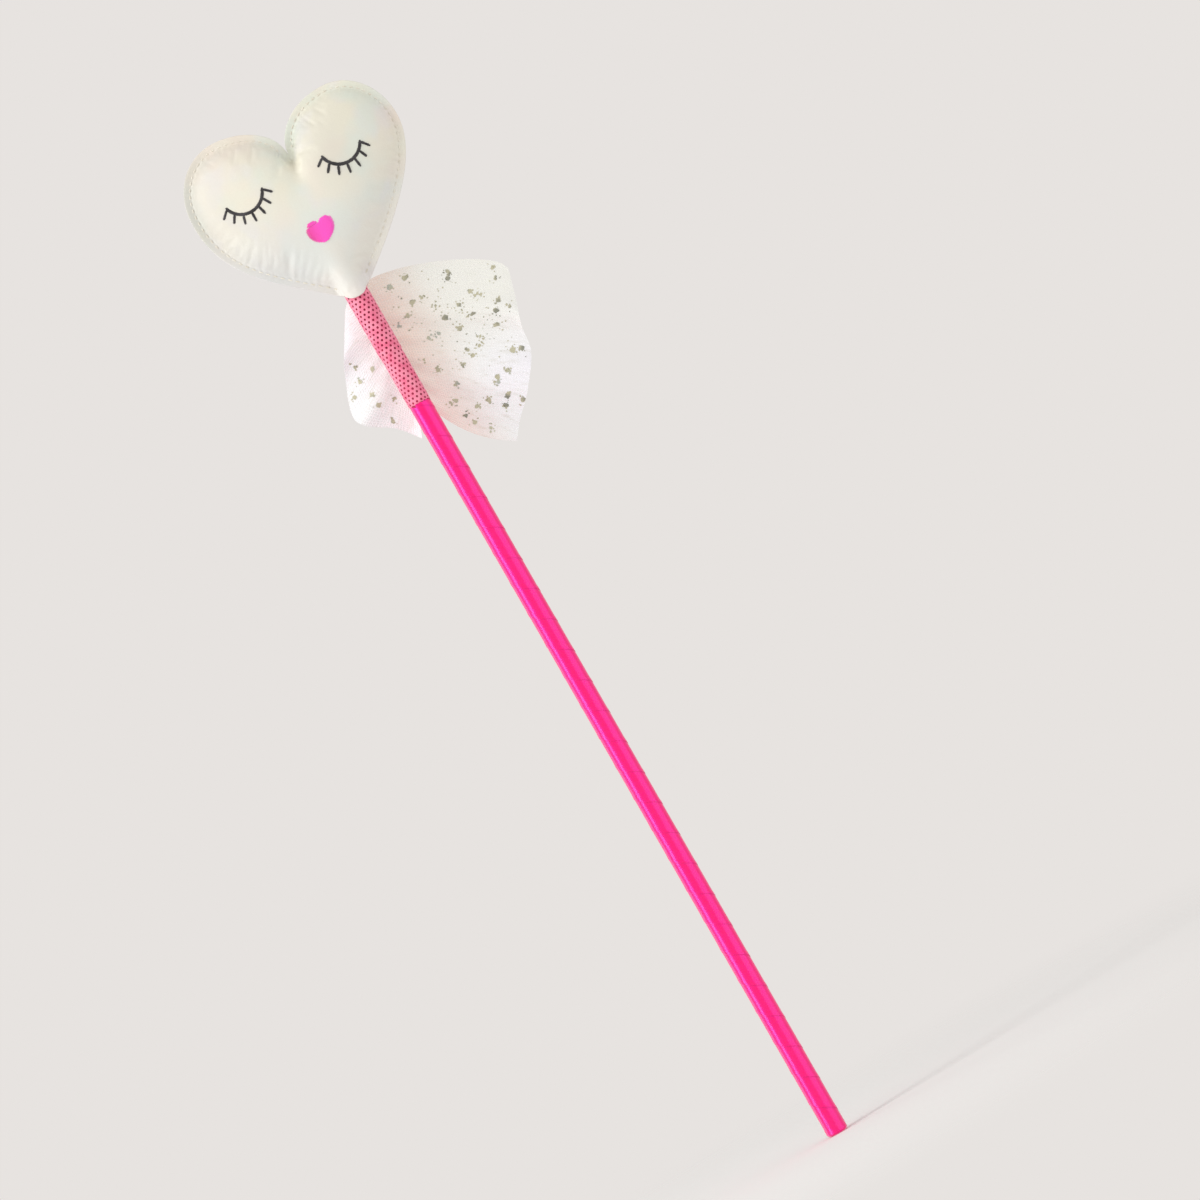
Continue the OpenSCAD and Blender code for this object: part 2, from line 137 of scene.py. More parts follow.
class Finish:
    """One procedural material on Object coordinates."""

    def __init__(self, name):
        self.material = bpy.data.materials.new(name)
        self.material.use_nodes = True
        self.tree = self.material.node_tree
        self.tree.nodes.clear()
        self.place = self.node("ShaderNodeTexCoord", output="Object")

    def node(self, kind, settings=None, inputs=None, output=0):
        made = self.tree.nodes.new(kind)
        for key, setting in (settings or {}).items():
            setattr(made, key, setting)
        for key, value in (inputs or {}).items():
            if isinstance(value, Value):
                self.tree.links.new(value.socket, made.inputs[key])
            else:
                made.inputs[key].default_value = value
        return Value(self, made.outputs[output]) if made.outputs else None

    def axis(self, letter):
        return self.node("ShaderNodeSeparateXYZ", None, {"Vector": self.place}, letter)

    def point(self, x, y, z):
        return self.node("ShaderNodeCombineXYZ", None, {"X": x, "Y": y, "Z": z})

    def stretched(self, scale, turn=(0, 0, 0), vector=None):
        return self.node("ShaderNodeMapping", None,
                         {"Vector": vector or self.place, "Scale": scale, "Rotation": turn})

    def noise(self, scale, detail=3, vector=None, rough=0.5):
        inputs = {"Vector": vector or self.place, "Scale": scale, "Detail": detail, "Roughness": rough}
        return self.node("ShaderNodeTexNoise", None, inputs)

    def cells(self, scale, feature="F1", vector=None, randomness=1.0):
        return self.node("ShaderNodeTexVoronoi", {"feature": feature},
                         {"Vector": vector or self.place, "Scale": scale, "Randomness": randomness})

    def mix(self, factor, first, second):
        return self.node("ShaderNodeMix", {"data_type": "RGBA"}, {0: factor, 6: first, 7: second}, 2)

    def bump(self, height, strength, distance, below=None):
        inputs = {"Height": height, "Strength": strength, "Distance": distance * MM}
        if below:
            inputs["Normal"] = below
        return self.node("ShaderNodeBump", None, inputs)

    def surface(self, **inputs):
        named = {key.replace("_", " "): value for key, value in inputs.items()}
        shader = self.node("ShaderNodeBsdfPrincipled", None, named)
        self.node("ShaderNodeOutputMaterial", None, {"Surface": shader})
        return self.material


def colour(code):
    """A linear colour from the usual two digits each of red, green and blue."""
    parts = [int(code[i:i + 2], 16) / 255 for i in (1, 3, 5)]
    return tuple(p / 12.92 if p <= 0.04045 else ((p + 0.055) / 1.055) ** 2.4 for p in parts) + (1.0,)


# Finishes


def pearl_fabric():
    f = Finish("pearl_fabric")
    broad = f.noise(45, 2).step(0.38, 0.66)
    second = f.noise(70, 2, f.stretched((1, 1, 1), (0.5, 0.2, 1.1))).step(0.45, 0.7)
    third = f.noise(110, 2, f.stretched((1, 1, 1), (0.9, 0.4, 0.3))).step(0.5, 0.7)
    base = f.mix(broad * 0.6, colour("#E6E1CE"), colour("#E7D6CC"))
    base = f.mix(second * 0.55, base, colour("#D5E2D8"))
    base = f.mix(third * 0.3, base, colour("#DFDBE2"))
    # Painted shade: a cooler, darker tint over the lower part of the heart, strongest at its lower left.
    leftward = 1 - f.axis("X").step(-0.024, 0.006)
    painted_shade_low = 1 - f.axis("Z").step(0.288, 0.314)
    base = f.mix(painted_shade_low * 0.4, base, colour("#E3E0E2"))
    base = f.mix(leftward * painted_shade_low * 0.75, base, colour("#CFD0D0"))
    # Painted shade: a greyer tone on the left lobe's outer side and on the right lobe's crest, where the
    # lamps light the fabric most.
    painted_shade_outer_lobe = (1 - f.axis("X").step(-0.030, -0.012)) * f.axis("Z").step(0.298, 0.312)
    base = f.mix(painted_shade_outer_lobe * 0.55, base, colour("#C4C0B8"))
    painted_shade_right_crest = f.axis("X").step(0.000, 0.011) * (1 - f.axis("X").step(0.013, 0.024))
    painted_shade_right_crest = painted_shade_right_crest * f.axis("Z").step(0.300, 0.313) * (1 - f.axis("Z").step(0.318, 0.332))
    base = f.mix(painted_shade_right_crest * 0.28, base, colour("#C6C1B8"))
    grain = f.cells(2400)
    weave = f.noise(900, 3)
    base = f.mix(grain.step(0.1, 0.7) * 0.10, base, colour("#CFC6B6"))
    return f.surface(Base_Color=base, Roughness=0.4 + 0.14 * weave, Coat_Weight=0.18, Coat_Roughness=0.3,
                     Sheen_Weight=0.25, Sheen_Roughness=0.4,
                     Normal=f.bump(grain, 0.25, 0.05, f.bump(weave, 0.2, 0.12)))


def thread(name, light, dark, roughness):
    f = Finish(name)
    twist = f.noise(2600, 2)
    patch = f.noise(260, 2).step(0.35, 0.7)
    base = f.mix(patch * 0.6 + twist * 0.3, colour(light), colour(dark))
    return f.surface(Base_Color=base, Roughness=roughness - 0.1 + 0.2 * twist, Sheen_Weight=0.35,
                     Sheen_Roughness=0.35, Normal=f.bump(twist, 0.4, 0.06))


def pink_thread():
    f = Finish("pink_thread")
    twist = f.noise(2600, 2)
    leftward = 1 - f.axis("X").step(-0.0042, 0.0008)
    base = f.mix(twist * 0.5, colour("#FF60D2"), colour("#FA48B4"))
    base = f.mix(leftward * 0.7, base, colour("#E24692"))
    return f.surface(Base_Color=base, Roughness=0.3 + 0.2 * twist, Sheen_Weight=0.35,
                     Sheen_Roughness=0.35, Normal=f.bump(twist, 0.4, 0.06))


def satin_ribbon():
    f = Finish("satin_ribbon")
    angle = f.node("ShaderNodeMath", {"operation": "ARCTAN2"}, {0: f.axis("Y"), 1: f.axis("X")})
    height = f.axis("Z") * (1 / MM)
    across = (height - WIND_START + angle * (WIND_PITCH / TURN)) % WIND_PITCH
    # Each turn is darker along the ribbon's own edge at its lap, and painted shade darkens the band just
    # below the next turn's lap.
    edge = 1 - across.step(0.0, 0.4)
    painted_shade_below_lap = across.step(WIND_PITCH - 0.7, WIND_PITCH)
    threads = (across * (TURN / 0.35)).sine()
    streak = f.noise(60, 3, f.point(across * 0.02, angle * 0.03, height * 0.0004))
    base = f.mix(streak.step(0.3, 0.7), colour("#FF0A42"), colour("#FF0F50"))
    base = f.mix(edge * 0.35 + painted_shade_below_lap * 0.35, base, colour("#CC003C"))
    return f.surface(Base_Color=base, Roughness=0.3 + 0.08 * streak, IOR=1.9, Specular_IOR_Level=0.95,
                     Specular_Tint=colour("#FF30FF"), Coat_Weight=0.6, Coat_Roughness=0.2,
                     Normal=f.bump(threads, 0.06, 0.03))


def satin_painted_shade_under_net():
    f = Finish("satin_painted_shade_under_net")
    # Painted shade: the ribbon under the net is a darker crimson, standing for the shade that the net casts
    # on it.
    cloud = f.noise(400, 3)
    base = f.mix(cloud.step(0.3, 0.7), colour("#B01444"), colour("#8C0C34"))
    return f.surface(Base_Color=base, Roughness=0.6 + 0.15 * cloud, Normal=f.bump(cloud, 0.2, 0.05))


def net_thread():
    f = Finish("net_thread")
    patch = f.noise(300, 3)
    base = f.mix(patch.step(0.35, 0.68), colour("#F88FA8"), colour("#EE6A8D"))
    return f.surface(Base_Color=base, Roughness=0.5 + 0.15 * patch, Sheen_Weight=0.3, Sheen_Roughness=0.4,
                     Normal=f.bump(f.noise(3000, 2), 0.35, 0.05))


def tulle():
    f = Finish("tulle")
    cloth = f.node("ShaderNodeUVMap", {"uv_map": "cloth"})
    edge = f.cells(110, "DISTANCE_TO_EDGE", cloth, 0.35)
    mesh = 1 - edge.step(0.05, 0.2)
    streak = f.noise(30, 4, f.stretched((1.0, 9.0, 1.0), (0, 0, 0.75), cloth)).step(0.42, 0.72)
    patch = f.noise(5, 3, cloth).step(0.35, 0.7)
    # Greyish diagonal streaks across the net.
    grey_streaks = f.noise(14, 5, f.stretched((1.0, 5.0, 1.0), (0, 0, 0.9), cloth), 0.65).step(0.5, 0.68)
    side = f.axis("X") * (1 / MM)
    base = f.mix(patch * 0.6, colour("#FFFFFF"), colour("#FBF6FD"))
    base = f.mix(grey_streaks * 0.45, base, colour("#DDD8CC"))
    upper = (f.axis("Z") * (1 / MM)).step(236.0, 258.0)
    base = f.mix(side.step(-3.0, 5.0) * upper * 0.8, base, colour("#F6F5EA"))
    base = f.mix(side.step(-5.0, 5.0) * (1 - side.step(4.0, 22.0)) * 0.58, base, colour("#FFDCC6"))
    base = f.mix((1 - side.step(-4.0, 1.0)) * side.step(-14.0, -4.0) * 0.25, base, colour("#FFDFE2"))
    return f.surface(Base_Color=base, Roughness=0.5, Alpha=0.34 + 0.16 * mesh + 0.22 * streak + 0.1 * patch,
                     Sheen_Weight=0.4, Sheen_Roughness=0.4)


def foil_fleck():
    f = Finish("foil_fleck")
    tone = f.noise(170, 2)
    base = f.mix(tone.step(0.38, 0.52), colour("#8F8F80"), colour("#C0BBA0"))
    base = f.mix(tone.step(0.55, 0.68), base, colour("#B3B8AE"))
    crinkle = f.noise(1500, 2)
    return f.surface(Base_Color=base, Metallic=0.25, Roughness=0.35 + 0.25 * crinkle,
                     Normal=f.bump(crinkle, 0.5, 0.1))


def bare_wood():
    f = Finish("bare_wood")
    rings = f.noise(220, 4, f.stretched((1, 1, 0.04)))
    base = f.mix(rings.step(0.3, 0.7), colour("#E3C79C"), colour("#C79E6A"))
    return f.surface(Base_Color=base, Roughness=0.6 + 0.15 * rings, Normal=f.bump(rings, 0.2, 0.08))


def set_glue():
    f = Finish("set_glue")
    cloud = f.noise(240, 3)
    base = f.mix(cloud.step(0.3, 0.7), colour("#F3EFE3"), colour("#E2DAC6"))
    return f.surface(Base_Color=base, Roughness=0.18 + 0.2 * cloud, Coat_Weight=0.4,
                     Normal=f.bump(cloud, 0.3, 0.15))


def loose_fibre():
    f = Finish("loose_fibre")
    wisps = f.noise(500, 5, f.stretched((1, 2.5, 1), (0.4, 0.3, 0.9)))
    base = f.mix(wisps.step(0.3, 0.7), colour("#FBFAF7"), colour("#E4E2DD"))
    return f.surface(Base_Color=base, Roughness=0.9, Sheen_Weight=0.5,
                     Normal=f.bump(wisps, 0.8, 0.4))


PEARL = pearl_fabric()
CREAM_THREAD = thread("cream_thread", "#F2EDE0", "#D3C9B6", 0.5)
BLACK_THREAD = thread("black_thread", "#211D1F", "#4A4648", 0.5)
PINK_THREAD = pink_thread()
SATIN = satin_ribbon()
SATIN_PAINTED_SHADE_UNDER_NET = satin_painted_shade_under_net()
NET = net_thread()
TULLE = tulle()
FOIL = foil_fleck()


# Meshes


def activate(obj):
    bpy.ops.object.select_all(action="DESELECT")
    obj.select_set(True)
    bpy.context.view_layer.objects.active = obj
    return obj


def piece_from(name, points, faces, scale=MM):
    """A new object from points in millimetres."""
    mesh = bpy.data.meshes.new(name)
    mesh.from_pydata([[c * scale for c in p] for p in points], [], [list(face) for face in faces])
    mesh.update()
    obj = bpy.data.objects.new(name, mesh)
    bpy.context.scene.collection.objects.link(obj)
    return activate(obj)


def apply_modifiers(obj):
    activate(obj)
    for name in [m.name for m in obj.modifiers]:
        bpy.ops.object.modifier_apply(modifier=name)


def hand_over(obj, material, slot, *nodes):
    """Gives a finished piece its material, its body and the nodes that it stands for."""
    obj.data.materials.clear()
    obj.data.materials.append(material)
    activate(obj)
    bpy.ops.object.shade_smooth_by_angle(angle=math.radians(40))
    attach(obj, "root")
    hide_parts(*nodes)
    return obj


def select_only(obj, test):
    """Selects, from edit mode, the vertices whose place in millimetres passes a test."""
    bpy.ops.mesh.select_all(action="DESELECT")
    bpy.ops.object.mode_set(mode="OBJECT")
    for v in obj.data.vertices:
        v.select = bool(test(v.co / MM))
    bpy.ops.object.mode_set(mode="EDIT")


# Ribbon on the stick


def ribbon_winding():
    """A thin strip section swept up the stick: each turn's lower edge laps over the turn below."""
    height = WIND_PITCH + WIND_LAP
    rows = [0.03, 0.12, 0.4 * WIND_LAP, 0.8 * WIND_LAP, 1.2 * WIND_LAP, 1.7 * WIND_LAP, 2.4 * WIND_LAP,
            0.4 * height, 0.55 * height, 0.7 * height, 0.85 * height, height]
    section = []
    for row in rows:
        lift = WIND_IN + (WIND_T + 0.01) * max(0, min(1, 2 - row / WIND_LAP))
        section.append((lift, lift + WIND_T * (0.75 if row == rows[0] else 1), row))
    inner = [(low, row) for low, _, row in section]
    outer = [(high, row) for _, high, row in section]
    loop = outer + inner[::-1] + [(inner[0][0] + 0.4 * WIND_T, 0)]
    bpy.ops.mesh.primitive_circle_add(vertices=len(loop), radius=1, fill_type="NOTHING")
    strip = bpy.context.object
    strip.name = "ribbon_winding"
    strip.data.name = strip.name
    for v, (radius, row) in zip(strip.data.vertices, loop):
        v.co = Vector((radius, 0, WIND_START - WIND_PITCH + row)) * MM
    sweep = strip.modifiers.new("winding", "SCREW")
    sweep.angle = -TURN
    sweep.screw_offset = WIND_PITCH * MM
    sweep.iterations = WIND_TURNS
    sweep.steps = sweep.render_steps = WIND_STEPS
    apply_modifiers(strip)
    bpy.ops.object.mode_set(mode="EDIT")
    bpy.ops.mesh.select_all(action="SELECT")
    bpy.ops.mesh.remove_doubles(threshold=0.002 * MM)
    for level, keep_below in ((WIND_LOW, False), (WIND_HIGH, True)):
        bpy.ops.mesh.select_all(action="SELECT")
        bpy.ops.mesh.bisect(plane_co=(0, 0, level * MM), plane_no=(0, 0, 1), use_fill=True,
                            clear_inner=not keep_below, clear_outer=keep_below)
    bpy.ops.mesh.select_all(action="SELECT")
    bpy.ops.mesh.fill_holes(sides=0)
    bpy.ops.mesh.normals_make_consistent(inside=False)
    bpy.ops.object.mode_set(mode="OBJECT")
    hand_over(strip, SATIN, "satin_ribbon", "shaft_ribbon")
    # The ribbon above the net's lower edge takes the painted shade finish for the shade under the net.
    strip.data.materials.append(SATIN_PAINTED_SHADE_UNDER_NET)
    for face in strip.data.polygons:
        face.material_index = int(face.center.z > NET_Z * MM)
    return strip


def ribbon_end_fold():
    """A cup of ribbon folded over the free end, with a rounded rim and rings across its floor."""
    bpy.ops.mesh.primitive_cylinder_add(vertices=48, radius=FOLD_OUT * MM, depth=FOLD_H * MM,
                                        location=(0, 0, FOLD_H * MM / 2))
    cup = bpy.context.object
    cup.name = "ribbon_end_fold"
    cup.data.name = cup.name
    bpy.ops.object.transform_apply(location=True)
    bpy.ops.object.mode_set(mode="EDIT")
    select_only(cup, lambda p: p.z > FOLD_H - 0.01)
    bpy.ops.mesh.delete(type="ONLY_FACE")
    select_only(cup, lambda p: p.z < 0.01)
    bpy.ops.mesh.bevel(offset=FOLD_ROUND * MM, segments=6, affect="EDGES")
    select_only(cup, lambda p: p.z < 0.01)
    for _ in range(3):
        bpy.ops.mesh.inset(thickness=0.6 * MM)
    bpy.ops.mesh.select_all(action="SELECT")
    bpy.ops.mesh.normals_make_consistent(inside=False)
    bpy.ops.object.mode_set(mode="OBJECT")
    wall = cup.modifiers.new("ribbon", "SOLIDIFY")
    wall.thickness = (FOLD_OUT - FOLD_IN) * MM
    wall.offset = -1
    apply_modifiers(cup)
    return hand_over(cup, SATIN, "satin_ribbon", "end_fold")


# Net round the neck


def neck_wrap(name, radius, first_row, rows):
    """A net of six-sided cells rolled round the stick, its holes cut by insetting each cell."""
    width = TURN * (NET_IN + NET_T / 2) / NET_CELLS
    rise = (NET_TOP - NET_Z) / NET_ROWS
    side = width / math.sqrt(3)
    points, faces = [], []
    for r in range(first_row, first_row + rows):
        for c in range(NET_CELLS):
            face = []
            for k in range(6):
                turn = TURN * (k + 0.5) / 6
                angle = ((c + 0.5 * (r % 2)) * width + side * math.cos(turn)) * TURN / (width * NET_CELLS)
                up = NET_Z + (r + 0.5) * rise + rise / 1.5 * math.sin(turn)
                points.append((radius * math.cos(angle), radius * math.sin(angle), up))
                face.append(len(points) - 1)
            faces.append(face)
    net = piece_from(name, points, faces)
    bpy.ops.object.mode_set(mode="EDIT")
    bpy.ops.mesh.select_all(action="SELECT")
    bpy.ops.mesh.remove_doubles(threshold=0.02 * MM)
    bpy.ops.mesh.normals_make_consistent(inside=False)
    bpy.ops.mesh.inset(thickness=NET_THREAD * MM, use_individual=True, use_even_offset=True)
    bpy.ops.mesh.delete(type="FACE")
    bpy.ops.object.mode_set(mode="OBJECT")
    wall = net.modifiers.new("net", "SOLIDIFY")
    wall.thickness = NET_T * MM
    wall.offset = 1
    soften = net.modifiers.new("soften", "SUBSURF")
    soften.levels = soften.render_levels = 1
    apply_modifiers(net)
    return net


# Padded heart


def half_outline(wide, tall, pull, tip_pull, tip_slope):
    """One half of the heart's cut edge, from the notch over the lobe and down to the tongue."""
    tip, fine, half = TONGUE_W / 2, 60, []
    for i in range(fine):
        turn = math.pi * (1 - 0.5 * i / fine)
        half.append((LOBE_U + LOBE_U * math.cos(turn), NOTCH_H + (tall - NOTCH_H) * math.sin(turn)))
    for i in range(fine):
        turn = math.pi * 0.5 * (1 - i / fine)
        half.append((LOBE_U + (wide - LOBE_U) * math.cos(turn),
                     WIDEST_H + (tall - WIDEST_H) * math.sin(turn)))
    side = np.array([(wide, WIDEST_H), (wide, WIDEST_H - pull),
                     (tip + tip_pull * math.cos(tip_slope), tip_pull * math.sin(tip_slope)), (tip, 0)])
    for i in range(2 * fine):
        t = i / (2 * fine)
        pulls = np.array([(1 - t) ** 3, 3 * t * (1 - t) ** 2, 3 * t * t * (1 - t), t ** 3])
        half.append(tuple(pulls @ side))
    for i in range(fine):
        turn = math.pi * 0.5 * i / fine
        half.append((tip * math.cos(turn), -TONGUE_DROP * math.sin(turn)))
    return half


def heart_outline(step):
    """The heart's cut edge, clockwise from the notch, as points about one step apart."""
    right, left = half_outline(**RIGHT_HALF), half_outline(**LEFT_HALF)
    line = np.array(right + [(0, -TONGUE_DROP)] + [(-u, v) for u, v in reversed(left[1:])] + [right[0]])
    length = np.concatenate([[0], np.cumsum(np.linalg.norm(np.diff(line, axis=0), axis=1))])
    places = np.linspace(0, length[-1], round(length[-1] / step), endpoint=False)
    return np.stack([np.interp(places, length, line[:, k]) for k in (0, 1)], axis=1)


def edge_distance(points, outline):
    """Distance of points from the cut edge, and how far round the edge the nearest place is."""
    start, end = outline, np.roll(outline, -1, axis=0)
    way = end - start
    size = (way ** 2).sum(1)
    offset = points[:, None] - start[None]
    share = np.clip((offset * way[None]).sum(2) / size[None], 0, 1)
    gap = np.linalg.norm(offset - share[..., None] * way[None], axis=2)
    nearest = gap.argmin(1)
    rows = np.arange(len(points))
    lengths = np.concatenate([[0], np.cumsum(np.sqrt(size))])[:-1]
    return gap[rows, nearest], lengths[nearest] + share[rows, nearest] * np.sqrt(size[nearest])


def inside(points, outline):
    """Which points lie within the cut edge."""
    start, end = outline, np.roll(outline, -1, axis=0)
    u, v = points[:, None, 0], points[:, None, 1]
    spans = (start[None, :, 1] > v) != (end[None, :, 1] > v)
    drop = np.where(end[:, 1] == start[:, 1], 1e-9, end[:, 1] - start[:, 1])
    cross = start[None, :, 0] + (v - start[None, :, 1]) / drop[None] * (end[:, 0] - start[:, 0])[None]
    return (spans & (u < cross)).sum(1) % 2 == 1


def inward(outline):
    """The directions into the heart from each point of its cut edge."""
    way = np.roll(outline, -1, axis=0) - np.roll(outline, 1, axis=0)
    square = np.stack([way[:, 1], -way[:, 0]], axis=1)
    return square / np.linalg.norm(square, axis=1)[:, None]


def inset_ring(outline, depth, step):
    """A ring of points inside the cut edge at one depth, rounded below the notch."""
    ring = outline + depth * inward(outline)
    count = max(3, round(math.pi * depth / step))
    notch = np.array([(depth * math.cos(a), NOTCH_H + depth * math.sin(a))
                      for a in np.linspace(math.pi, TURN, count)])
    ring = np.concatenate([ring, notch])
    return ring[edge_distance(ring, outline)[0] > depth - 0.06]


def spread_out(points, least):
    """Drops points that lie nearer than least to one kept before."""
    kept, grid = [], {}
    for p in points:
        cell = (int(p[0] // least), int(p[1] // least))
        near = [q for i in (-1, 0, 1) for j in (-1, 0, 1) for q in grid.get((cell[0] + i, cell[1] + j), ())]
        if all((p[0] - q[0]) ** 2 + (p[1] - q[1]) ** 2 >= least ** 2 for q in near):
            kept.append(p)
            grid.setdefault(cell, []).append(p)
    return np.array(kept)


def heart_pattern():
    """The flat pattern of one panel: points, triangles, depth inside the cut edge and place along it."""
    outline = heart_outline(PATTERN_STEP)
    rings = [inset_ring(outline, depth, PATTERN_STEP) for depth in (0.7, 1.55, RIM_W, RIM_W + 0.85)]
    grid = np.array([((i + 0.5 * (j % 2)) * PATTERN_STEP, j * PATTERN_STEP * math.sqrt(3) / 2)
                     for j in range(-3, 70) for i in range(-38, 38)])
    grid = grid[inside(grid, outline)]
    grid = grid[edge_distance(grid, outline)[0] > RIM_W + 1.5]
    loose = spread_out(np.concatenate(rings + [grid]), 0.6)
    points = np.concatenate([outline, loose])
    count = len(outline)
    edges = [(i, (i + 1) % count) for i in range(count)]
    made = geometry.delaunay_2d_cdt([Vector(p) for p in points], edges, [], 1, 1e-5)
    flat = np.array([tuple(p) for p in made[0]])
    depth, along = edge_distance(flat, outline)
    return flat, [tuple(f) for f in made[2]], depth, along


def swell(flat):
    """Share of the full crown at each point: steep at the seam and then flat, in rings round a core."""
    outline = heart_outline(PATTERN_STEP)
    core = np.array([0, CORE_SHARE * NOTCH_H])
    seam = outline + RIM_W * inward(outline) - core
    edge = np.roll(seam, -1, axis=0) - seam
    offset = flat - core
    far = np.maximum(np.linalg.norm(offset, axis=1), 1e-6)
    aim = offset / far[:, None]
    across = aim[:, :1] * edge[:, 1] - aim[:, 1:] * edge[:, 0]
    across = np.where(np.abs(across) < 1e-9, 1e-9, across)
    reach = (seam[:, 0] * edge[:, 1] - seam[:, 1] * edge[:, 0]) / across
    place = (seam[:, 0] * aim[:, 1:] - seam[:, 1] * aim[:, :1]) / across
    reach = np.where((reach > 0) & (place >= 0) & (place <= 1), reach, 0).max(1)
    share = np.minimum(1, far / np.maximum(reach, 1e-6))
    rise = np.clip((flat[:, 1] - TIP_LOW) / (TIP_HIGH - TIP_LOW), 0, 1)
    beside_stick = TIP_FULL + (1 - TIP_FULL) * rise * rise * (3 - 2 * rise)
    return (1 - share ** SWELL_FLAT) ** SWELL_STEEP * beside_stick


def ridge(flat):
    """Rise of the fabric over the stick near the tip."""
    u = flat[:, 0] + flat[:, 1] * math.tan(HEART_LEAN)
    fade = np.clip((RIDGE_END - flat[:, 1]) / (RIDGE_END - RIDGE_FULL), 0, 1)
    return np.sqrt(np.maximum(0, RIDGE_R ** 2 - u ** 2)) * fade * fade * (3 - 2 * fade)


def crease(flat):
    """Depth of a short crease that pulls at the lower left of the front panel."""
    way = np.array([0.5, 0.866])
    off = flat - np.array([-13.5, 16.2])
    along, across = off @ way, off @ np.array([way[1], -way[0]])
    return 0.5 * np.exp(-(along / 2.6) ** 2 - (across / 0.85) ** 2)


def raised(first, second, power=5):
    """The higher of two rises, with a soft bend where they meet."""
    return (np.maximum(first, 0) ** power + np.maximum(second, 0) ** power) ** (1 / power)


def in_wand(u, out, v):
    """Turns places of the heart's own frame into the wand's."""
    c, s = math.cos(HEART_LEAN), math.sin(HEART_LEAN)
    return np.stack([u * c + v * s, -out, TIP_Z - u * s + v * c], axis=-1)


def stuffed(flat, faces, share, depth):
    """Both panels blown up together with the seam and the rim held, as the stuffing does."""
    size = TRIAL_SCALE * MM
    count = len(flat)
    start = np.concatenate([
        np.stack([flat[:, 0], -TRIAL_START * FRONT_CROWN * share, flat[:, 1]], axis=1),
        np.stack([flat[:, 0], TRIAL_START * BACK_CROWN * share, flat[:, 1]], axis=1)])
    back = [(a + count, c + count, b + count) for a, b, c in faces]
    pad = piece_from("stuffing_trial", start, list(faces) + back, size)
    held = [i + k for i in np.flatnonzero(depth < RIM_W + 0.1).tolist() for k in (0, count)]
    pad.vertex_groups.new(name="sewn").add(held, 1.0, "REPLACE")
    cloth = pad.modifiers.new("stuffing", "CLOTH")
    cloth.settings.quality = 8
    cloth.settings.mass = 0.02
    cloth.settings.tension_stiffness = 12
    cloth.settings.compression_stiffness = 12
    cloth.settings.shear_stiffness = 6
    cloth.settings.bending_stiffness = 0.6
    cloth.settings.use_pressure = True
    cloth.settings.uniform_pressure_force = 4
    cloth.settings.vertex_group_mass = "sewn"
    cloth.settings.shrink_min = -0.015
    cloth.settings.effector_weights.gravity = 0
    cloth.collision_settings.use_collision = False
    scene = bpy.context.scene
    for number in range(1, TRIAL_FRAMES + 1):
        scene.frame_set(number)
    apply_modifiers(pad)
    scene.frame_set(1)
    blown = np.array([v.co for v in pad.data.vertices]) / size
    bpy.data.objects.remove(pad)
    move = blown - start
    far = np.linalg.norm(move, axis=1)[:, None]
    blown = start + move * np.minimum(1, TRIAL_MOST / np.maximum(far, 1e-9))
    return blown[:count], blown[count:]


def heart_panel(name, blown, faces, depth, along, side):
    """One fabric panel from its blown shape: side is 1 for the front and -1 for the back."""
    flat = blown[:, [0, 2]]
    out = raised(-side * blown[:, 1], ridge(flat))
    near_seam = np.exp(-((depth - RIM_W - 0.2) / 1.3) ** 2)
    pucker = PUCKER * np.cos(TURN * along / STITCH_PITCH) * near_seam
    groove = -GROOVE * np.exp(-((depth - RIM_W) / 0.6) ** 2)
    wave = 0.16 * np.sin(along / 6.1) + 0.09 * np.sin(along / 2.3 + 1.0)
    edge = np.clip(1 - depth / (RIM_W + 2), 0, 1)
    out = out + PANEL_T - pucker + groove + side * wave * edge
    if side > 0:
        out = out - crease(flat)
    points = in_wand(flat[:, 0], side * out, flat[:, 1])
    panel = piece_from(name, points, faces if side > 0 else [f[::-1] for f in faces])
    wall = panel.modifiers.new("fabric", "SOLIDIFY")
    wall.thickness = 0.9 * PANEL_T * MM
    wall.offset = -1
    smooth = panel.modifiers.new("smooth", "SUBSURF")
    smooth.levels = smooth.render_levels = 1
    apply_modifiers(panel)
    return panel


def heart_fibre(front, back, faces, depth):
    """The loose filling inside both panels, lumpy and clear of the stick's mouth."""
    flat = front[:, [0, 2]]
    kept = (depth > RIM_W + 1.5) & (flat[:, 1] > FIBRE_LOW)
    chosen = [f for f in faces if all(kept[i] for i in f)]
    used = sorted({i for f in chosen for i in f})
    place = {old: new for new, old in enumerate(used)}
    lumps = 0.25 * np.sin(flat[:, 0] * 0.9) * np.sin(flat[:, 1] * 0.8)
    near = in_wand(front[:, 0], np.maximum(FIBRE_LEAST, -front[:, 1] - FIBRE_GAP + lumps), front[:, 2])
    far = in_wand(back[:, 0], -np.maximum(FIBRE_LEAST, back[:, 1] - FIBRE_GAP + lumps), back[:, 2])
    points = [near[i] for i in used] + [far[i] for i in used]
    count = len(used)
    ring = {}
    for f in chosen:
        for a, b in ((f[0], f[1]), (f[1], f[2]), (f[2], f[0])):
            ring[(a, b)] = None
    rim = [(place[a], place[b]) for a, b in ring if (b, a) not in ring]
    sheets = [[place[i] for i in f] for f in chosen]
    mesh_faces = sheets + [[i + count for i in f[::-1]] for f in sheets]
    mesh_faces += [[b, a, a + count, b + count] for a, b in rim]
    return piece_from("heart_fibre", points, mesh_faces)


# Stitches


